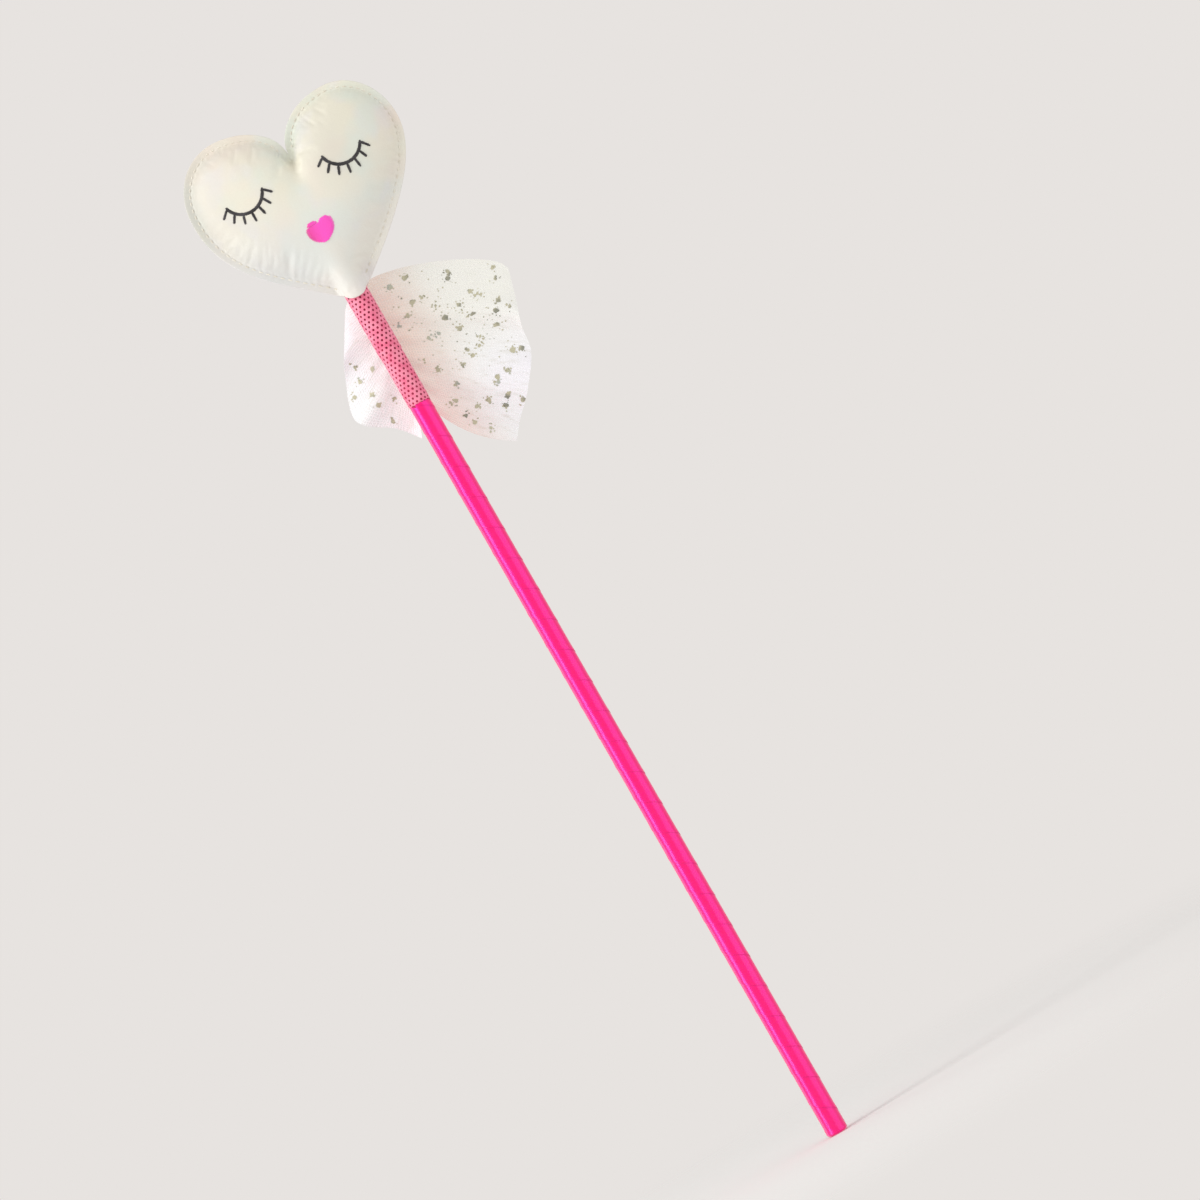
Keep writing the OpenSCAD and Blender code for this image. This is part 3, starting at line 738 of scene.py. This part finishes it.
def one_stitch():
    """A short length of thread that rises from the cloth, runs along X for one unit and dives in again."""
    bpy.ops.mesh.primitive_cylinder_add(vertices=6, radius=0.5, depth=1, rotation=(0, math.pi / 2, 0))
    stitch = bpy.context.object
    bpy.ops.object.transform_apply(rotation=True)
    bpy.ops.object.mode_set(mode="EDIT")
    bpy.ops.mesh.select_all(action="DESELECT")
    bpy.ops.object.mode_set(mode="OBJECT")
    for edge in stitch.data.edges:
        a, b = (stitch.data.vertices[i].co for i in edge.vertices)
        edge.select = abs(a.x - b.x) > 0.5
    bpy.ops.object.mode_set(mode="EDIT")
    bpy.ops.mesh.subdivide(number_cuts=4)
    bpy.ops.object.mode_set(mode="OBJECT")
    shape = []
    for v in stitch.data.vertices:
        x = 2 * v.co.x
        thin = 0.45 + 0.55 * (1 - x ** 4)
        shape.append((v.co.x, v.co.y * thin, v.co.z * thin - 0.75 * x ** 4))
    faces = [tuple(p.vertices) for p in stitch.data.polygons]
    bpy.data.objects.remove(stitch)
    return np.array(shape), faces


STITCH_POINTS, STITCH_FACES = one_stitch()


def stitches(name, laid):
    """One piece from many copies of the stitch, each laid as (middle, along, up, thickness)."""
    points, faces = [], []
    for middle, along, up, thick in laid:
        length = along.length
        along = along / length
        up = (up - along * up.dot(along)).normalized()
        turn = Matrix((along, up.cross(along), up)).transposed()
        first = len(points)
        for p in STITCH_POINTS:
            points.append(middle + turn @ Vector((p[0] * length, p[1] * thick, p[2] * thick)))
        faces += [[i + first for i in f] for f in STITCH_FACES]
    return piece_from(name, points, faces)


def surface_tree(obj):
    """A tree of a finished piece's faces, for rays to hit."""
    return BVHTree.FromPolygons([v.co for v in obj.data.vertices], [p.vertices for p in obj.data.polygons])


class Ground:
    """Finds the surface of a finished panel under a place of the heart's own frame."""

    def __init__(self, panel, side):
        self.side = side
        self.tree = surface_tree(panel)

    def at(self, u, v):
        start = Vector(in_wand(np.float64(u), np.float64(self.side * 60), np.float64(v))) * MM
        place, normal, _, _ = self.tree.ray_cast(start, Vector((0, self.side, 0)))
        if place is None:
            return None
        return place / MM, normal


def stitch_between(ground, a, b, thick, lift):
    """A stitch on the panel from a to b, in the heart's own frame."""
    ends = [ground.at(*a), ground.at(*b)]
    middle = ground.at((a[0] + b[0]) / 2, (a[1] + b[1]) / 2)
    if None in ends or middle is None:
        return []
    return [(middle[0] + lift * middle[1], ends[1][0] - ends[0][0], middle[1], thick)]


def seam_stitches(grounds):
    """A running stitch round the rim of both panels, left out at the stick."""
    outline = heart_outline(0.2)
    ring = inset_ring(outline, SEAM_INSET, 0.2)
    along = edge_distance(ring, outline)[1]
    ring = ring[np.argsort(along)]
    along = np.sort(along)
    total = np.linalg.norm(np.diff(np.concatenate([outline, outline[:1]]), axis=0), axis=1).sum()
    laid = []
    for k in range(round(total / STITCH_PITCH)):
        ends = [(k - STITCH_HALF) * STITCH_PITCH, (k + STITCH_HALF) * STITCH_PITCH]
        a, b = [(np.interp(s, along, ring[:, 0]), np.interp(s, along, ring[:, 1])) for s in ends]
        if min(a[1], b[1]) < STITCH_LOW or math.dist(a, b) > STITCH_PITCH:
            continue
        for ground in grounds:
            laid += stitch_between(ground, a, b, thick=0.34, lift=0.05)
    return stitches("heart_seam_stitches", laid)


def satin_line(ground, line, width, spacing, thick, slant, rng):
    """Threads laid side by side across a line, as in satin stitch."""
    line = np.array(line)
    length = np.concatenate([[0], np.cumsum(np.linalg.norm(np.diff(line, axis=0), axis=1))])
    laid = []
    for s in np.arange(0, length[-1] + 0.01, spacing):
        p = np.array([np.interp(s, length, line[:, k]) for k in (0, 1)])
        ahead = np.array([np.interp(s + 0.2, length, line[:, k]) for k in (0, 1)])
        behind = np.array([np.interp(s - 0.2, length, line[:, k]) for k in (0, 1)])
        way = (ahead - behind) / np.linalg.norm(ahead - behind)
        across = np.array([way[1], -way[0]]) + slant * way
        half = across / np.linalg.norm(across) * width * (0.5 + 0.05 * rng.uniform(-1, 1))
        end_share = min(1, 0.55 + min(s, length[-1] - s) / width)
        laid += stitch_between(ground, p - half * end_share, p + half * end_share, thick, 0.1)
    return laid


def closed_eye(name, ground, side, rng):
    """A drooping lid with lashes that fan out below it."""
    radius = ((LID_W / 2) ** 2 + LID_DROP ** 2) / (2 * LID_DROP)
    half = math.asin(LID_W / 2 / radius)
    tilt = -side * LID_DROOP
    middle = np.array([FACE_SHIFT + side * EYE_SPAN / 2, EYE_H + side * EYE_STEP])
    turn = np.array([[math.cos(tilt), -math.sin(tilt)], [math.sin(tilt), math.cos(tilt)]])

    def lid_point(angle, r):
        return np.array([r * math.sin(angle), radius - LID_DROP - r * math.cos(angle)])

    lid = [middle + turn @ lid_point(a, radius) for a in np.linspace(-half, half, 40)]
    laid = satin_line(ground, lid, LID_LINE, spacing=0.27, thick=0.34, slant=0.25, rng=rng)
    for i in range(LASH_COUNT):
        at = 2 * i / (LASH_COUNT - 1) - 1
        root = lid_point(at * (half - math.radians(3)), radius)
        way = np.array([math.sin(LASH_FAN * at), -math.cos(LASH_FAN * at)])
        reach = LID_LINE / 2 + LASH_L * (1 + 0.06 * rng.uniform(-1, 1))
        lash = [middle + turn @ (root + way * d) for d in np.linspace(0.3, reach, 12)]
        laid += satin_line(ground, lash, LASH_LINE, spacing=0.27, thick=0.32, slant=0.2, rng=rng)
    return stitches(name, laid)


def mouth_halves(v):
    """Left and right ends of the heart-shaped mouth at one height above its tip, for one or two lobes."""
    lobe_top, notch, widest = MOUTH_TALL, 0.85 * MOUTH_TALL, 0.66 * MOUTH_TALL
    half_w, lobe = MOUTH_W / 2, MOUTH_W / 4
    if v <= widest:
        outer = half_w * math.sin(math.pi / 2 * (v / widest) ** 0.62)
    else:
        outer = lobe + (half_w - lobe) * math.sqrt(max(0, 1 - ((v - widest) / (lobe_top - widest)) ** 2))
    if v <= notch:
        return [(-outer, outer)]
    inner = lobe * (1 - math.sqrt(max(0, 1 - ((v - notch) / (lobe_top - notch)) ** 2)))
    return [(-outer, -inner), (inner, outer)]


def satin_mouth(ground, rng):
    """A small heart filled with rows of thread."""
    laid = []
    spacing = 0.3
    base = MOUTH_H - MOUTH_TALL / 2
    for row in range(1, int(MOUTH_TALL / spacing)):
        v = row * spacing
        for low, high in mouth_halves(v):
            if high - low < 0.4:
                continue
            slip = 0.08 * rng.uniform(-1, 1)
            tilt = 0.05 * (high - low)
            a = (MOUTH_SHIFT + low + slip, base + v - tilt)
            b = (MOUTH_SHIFT + high + slip, base + v + tilt)
            laid += stitch_between(ground, a, b, thick=0.44, lift=0.14)
    return stitches("mouth_satin_heart", laid)


# Tulle


def through(points, t):
    """A smooth line through points, read at t from 0 to 1."""
    points = np.array(points, float)
    x = np.clip(t, 0, 1) * (len(points) - 1)
    i = min(int(x), len(points) - 2)
    x -= i
    a, b = points[max(0, i - 1)], points[min(len(points) - 1, i + 2)]
    p, q = points[i], points[i + 1]
    return (p * (1 - x) ** 2 * (1 + 2 * x) + q * x ** 2 * (3 - 2 * x)
            + (q - a) / 2 * x * (1 - x) ** 2 - (b - p) / 2 * x ** 2 * (1 - x))


RIGHT_END = [(41, 260.5), (38.6, 252), (36.2, 244.5), (34.8, 236.5), (28.5, 227.5), (22.3, 221.2),
             (18.6, 216.4)]
LEFT_END = [(-5.5, 273), (-10, 265.5), (-14.2, 258), (-18.4, 247), (-16.8, 241.8), (-9.5, 236.8),
            (-4.4, 230.5)]


def tulle_place(f, b):
    """A place of the strip: f runs along it from the left end at -1 to the right end at 1, b across it."""
    g = abs(f)
    end = through(RIGHT_END if f > 0 else LEFT_END, b)
    root = np.array([0, TULLE_HIGH + (TULLE_LOW - TULLE_HIGH) * b])
    p = root + g * (end - root)
    if f > 0:
        p[1] += TULLE_RISE * g ** 0.35 * math.sqrt(1 - g) * (1 - b) ** 2
        p[1] -= TULLE_SAG * math.sin(math.pi * g ** 0.8) * b ** 5
    else:
        p[1] += LEFT_RISE * math.sin(math.pi * g) * (1 - b) ** 2
    gather = math.exp(-((g - 0.12) / 0.16) ** 2)
    pleats = 0.45 * gather * math.sin(TURN * 6 * b + 1.0)
    folds = 1.4 * g ** 1.3 * math.sin(TURN * 2.5 * b + 0.7) + 0.4 * g * math.sin(TURN * 5.3 * b + 2 * g)
    crest = 1.3 * g * math.exp(-((b - 0.56) / 0.045) ** 2) if f > 0 else 0
    depth = TULLE_Y + 0.5 + pleats + folds + 2.4 * g - crest
    return np.array([p[0], max(TULLE_Y, depth), p[1]])


def tulle_strip():
    """One strip of tulle through the bead of glue, with its cloth laid out flat as a UV map."""
    lefts, rights, rows = 26, 48, 60
    columns = [-i / lefts for i in range(lefts, 0, -1)] + [i / rights for i in range(rights + 1)]
    points = [tulle_place(f, r / rows) for f in columns for r in range(rows + 1)]
    faces = []
    for c in range(len(columns) - 1):
        for r in range(rows):
            a = c * (rows + 1) + r
            faces.append((a, a + rows + 1, a + rows + 2, a + 1))
    strip = piece_from("tulle_strip", points, faces)
    cloth = strip.data.uv_layers.new(name="cloth")
    for loop in strip.data.loops:
        c, r = divmod(loop.vertex_index, rows + 1)
        along = columns[c] * (RIGHT_L if columns[c] > 0 else LEFT_L)
        cloth.data[loop.index].uv = (along / 100, r / rows * TULLE_W / 100)
    bpy.ops.object.mode_set(mode="EDIT")
    bpy.ops.mesh.select_all(action="SELECT")
    bpy.ops.mesh.flip_normals()
    bpy.ops.object.mode_set(mode="OBJECT")
    wall = strip.modifiers.new("tulle", "SOLIDIFY")
    wall.thickness = TULLE_T * MM
    wall.offset = 0
    apply_modifiers(strip)
    return strip


FLECKS = [(13.9, 272.8), (9, 272.6), (25.5, 268.2), (24.6, 266.5), (37.3, 263.1), (36.3, 259.7),
          (28.2, 260.1), (29.8, 258.5), (15.4, 265.3), (12.3, 265.5), (17.7, 261.5), (23.6, 258.4),
          (34, 254), (36, 250.9), (25.4, 254.2), (31.8, 251.7), (9.4, 262.9), (18.3, 257.3),
          (30.2, 248.2), (20.4, 252.4), (14.6, 254.1), (24.5, 247.7), (11.5, 254.4), (22.8, 245.4),
          (19.5, 245.9), (19.9, 243.8), (30.6, 239.5), (33, 238.8), (7.2, 249.7), (9.3, 245.2),
          (16, 243), (26.3, 235.2), (22.9, 235), (22.4, 233.7), (11.4, 239.1), (22.8, 229.2),
          (7.6, 235.4), (9.3, 235.1), (26, 225.8), (17.5, 230.6), (13.8, 230.6), (21, 226.8),
          (9.6, 230), (10.8, 227), (14, 223.4), (5.7, 261.5), (-11.1, 257.8), (-7, 254.8),
          (-11.8, 253.3), (-15.4, 250.4), (-10.7, 248.4), (-5.5, 244.3), (-10.5, 245), (-9.3, 239)]


def tulle_flecks(strip, rng):
    """Torn scraps of foil on the front of the tulle, a few to each fleck, and fine specks on its right."""
    tree = surface_tree(strip)
    scraps = []
    for x, z in FLECKS:
        scraps.append((x, z, rng.uniform(0.5, 1.05)))
        for _ in range(rng.choice((4, 5, 6, 8))):
            turn, away = rng.uniform(0, TURN), rng.uniform(0.5, 1.7)
            size = rng.uniform(0.14, 0.75 - 0.3 * away)
            scraps.append((x + away * math.cos(turn), z + away * math.sin(turn), size))
    for _ in range(SPECKS):
        x = rng.uniform(6, 33)
        scraps.append((x, 262 - 0.35 * x + rng.gauss(0, 9), rng.uniform(0.14, 0.3)))
    points, faces = [], []
    for x, z, size in scraps:
        ring = [(x + size * rng.uniform(0.5, 1.15) * math.cos(TURN * k / FLECK_SIDES),
                 z + size * rng.uniform(0.5, 1.15) * math.sin(TURN * k / FLECK_SIDES))
                for k in range(FLECK_SIDES)]
        found = [tree.ray_cast(Vector((u * MM, -0.05, w * MM)), Vector((0, 1, 0)))
                 for u, w in ring + [(x, z)]]
        if any(hit[0] is None for hit in found):
            continue
        first = len(points)
        behind = first + FLECK_SIDES + 1
        for layer in (0.05, 0.02):
            points += [hit[0] / MM + layer * hit[1] for hit in found]
        for k in range(FLECK_SIDES):
            j = (k + 1) % FLECK_SIDES
            faces.append((first + FLECK_SIDES, first + k, first + j))
            faces.append((behind + FLECK_SIDES, behind + j, behind + k))
            faces.append((first + k, behind + k, behind + j, first + j))
    flecks = piece_from("tulle_flecks", points, faces)
    bpy.ops.object.mode_set(mode="EDIT")
    bpy.ops.mesh.select_all(action="SELECT")
    bpy.ops.mesh.normals_make_consistent(inside=False)
    bpy.ops.object.mode_set(mode="OBJECT")
    return flecks


# Stage


def set_stage():
    """A pale floor and backdrop, soft lamps and a camera at the photo's angle."""
    scene = bpy.context.scene
    scene.view_settings.view_transform = "Standard"
    pale = colour("#E7E3E0")

    world = bpy.data.worlds.new("studio")
    scene.world = world
    world.use_nodes = True
    tree = world.node_tree
    tree.nodes.clear()
    seen = tree.nodes.new("ShaderNodeBackground")
    seen.inputs["Color"].default_value = pale
    light = tree.nodes.new("ShaderNodeBackground")
    light.inputs["Color"].default_value = (1, 1, 1, 1)
    light.inputs["Strength"].default_value = 0.6
    path = tree.nodes.new("ShaderNodeLightPath")
    choose = tree.nodes.new("ShaderNodeMixShader")
    out = tree.nodes.new("ShaderNodeOutputWorld")
    shown = path.outputs["Is Camera Ray"]
    for kind in ("Is Glossy Ray", "Is Transmission Ray"):
        either = tree.nodes.new("ShaderNodeMath")
        either.operation = "MAXIMUM"
        tree.links.new(shown, either.inputs[0])
        tree.links.new(path.outputs[kind], either.inputs[1])
        shown = either.outputs[0]
    tree.links.new(shown, choose.inputs[0])
    tree.links.new(light.outputs[0], choose.inputs[1])
    tree.links.new(seen.outputs[0], choose.inputs[2])
    tree.links.new(choose.outputs[0], out.inputs["Surface"])

    bpy.ops.mesh.primitive_plane_add(size=4)
    floor = bpy.context.object
    floor.name = "pale_floor"
    f = Finish("pale_floor")
    across = f.node("ShaderNodeVectorMath", {"operation": "LENGTH"}, {0: f.place}, "Value")
    glossy = f.node("ShaderNodeLightPath", output="Is Glossy Ray")
    solid = (1 - across.step(0.05, 0.26)) * (1 - glossy)
    clear = f.node("ShaderNodeBsdfTransparent")
    matt = f.node("ShaderNodeBsdfDiffuse", None, {"Color": colour("#EEEBE8")})
    mixed = f.node("ShaderNodeMixShader", None, {0: solid, 1: clear, 2: matt})
    f.node("ShaderNodeOutputMaterial", None, {"Surface": mixed})
    floor.data.materials.append(f.material)

    def soft_box(name, place, towards, width, tall, radiance):
        lamp = bpy.data.lights.new(name, "AREA")
        lamp.shape = "RECTANGLE"
        lamp.size, lamp.size_y = width, tall
        lamp.energy = radiance * width * tall * math.pi
        box = bpy.data.objects.new(name, lamp)
        scene.collection.objects.link(box)
        box.location = place
        box.rotation_mode = "QUATERNION"
        box.rotation_quaternion = (Vector(towards) - Vector(place)).to_track_quat("-Z", "Y")
        box.visible_camera = False

    soft_box("left_strip", (-0.68, -0.34, 0.34), (0, 0, 0.2), width=0.34, tall=1.3, radiance=3.1)
    soft_box("left_back", (-0.66, 0.36, 0.17), (0, 0, 0.17), width=0.4, tall=1.2, radiance=0.9)
    soft_box("right_panel", (0.66, -0.52, 0.2), (0, 0, 0.17), width=0.95, tall=1.1, radiance=0.82)
    soft_box("high_key", (-0.6, -0.62, 1.0), (0, 0, 0.2), width=0.9, tall=0.9, radiance=1.05)

    lean = math.radians(29.85)
    lens, sensor, frame_w = 240, 36, 341.4
    middle_x, middle_z = 0.0166, 0.1653
    eye = bpy.data.cameras.new("photo_view")
    eye.lens, eye.sensor_width = lens, sensor
    camera = bpy.data.objects.new("photo_view", eye)
    scene.collection.objects.link(camera)
    away = frame_w * MM * lens / sensor
    right = Vector((math.cos(lean), 0, -math.sin(lean)))
    up = Vector((math.sin(lean), 0, math.cos(lean)))
    turn = Matrix((right, up, Vector((0, -1, 0)))).transposed().to_4x4()
    camera.matrix_world = Matrix.Translation(Vector((middle_x, -away, middle_z))) @ turn
    scene.camera = camera


# The wand


set_stage()
rng = random.Random(8)

ribbon_winding()
ribbon_end_fold()
hand_over(neck_wrap("neck_net_wrap", NET_IN, 0, NET_ROWS), NET, "neck_net", "neck_net")
upper_net = neck_wrap("neck_net_upper", NET_IN + NET_T + 0.02, NET_DOUBLED, NET_ROWS - NET_DOUBLED)
hand_over(upper_net, NET, "neck_net")

flat, faces, depth, along = heart_pattern()
share = swell(flat)
front, back = stuffed(flat, faces, share, depth)
front_panel = heart_panel("heart_front_panel", front, faces, depth, along, 1)
back_panel = heart_panel("heart_back_panel", back, faces, depth, along, -1)
hand_over(front_panel, PEARL, "pearl_fabric", "heart_front")
hand_over(back_panel, PEARL, "pearl_fabric", "heart_back")
fibre = hand_over(heart_fibre(front, back, faces, depth), loose_fibre(), "fibre_fill", "heart_stuffing")

grounds = [Ground(front_panel, 1), Ground(back_panel, -1)]
hand_over(seam_stitches(grounds), CREAM_THREAD, "cream_thread", "seam_thread")
hand_over(closed_eye("left_lid_and_lashes", grounds[0], -1, rng), BLACK_THREAD, "black_thread", "left_eye")
hand_over(closed_eye("right_lid_and_lashes", grounds[0], 1, rng), BLACK_THREAD, "black_thread", "right_eye")
hand_over(satin_mouth(grounds[0], rng), PINK_THREAD, "pink_thread", "mouth")

strip = hand_over(tulle_strip(), TULLE, "tulle", "tulle_bow")
flecks = hand_over(tulle_flecks(strip, rng), FOIL, "tulle")

for node, finish in (("dowel", bare_wood()), ("neck_glue", set_glue()), ("heart_glue", set_glue())):
    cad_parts[node].data.materials.clear()
    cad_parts[node].data.materials.append(finish)
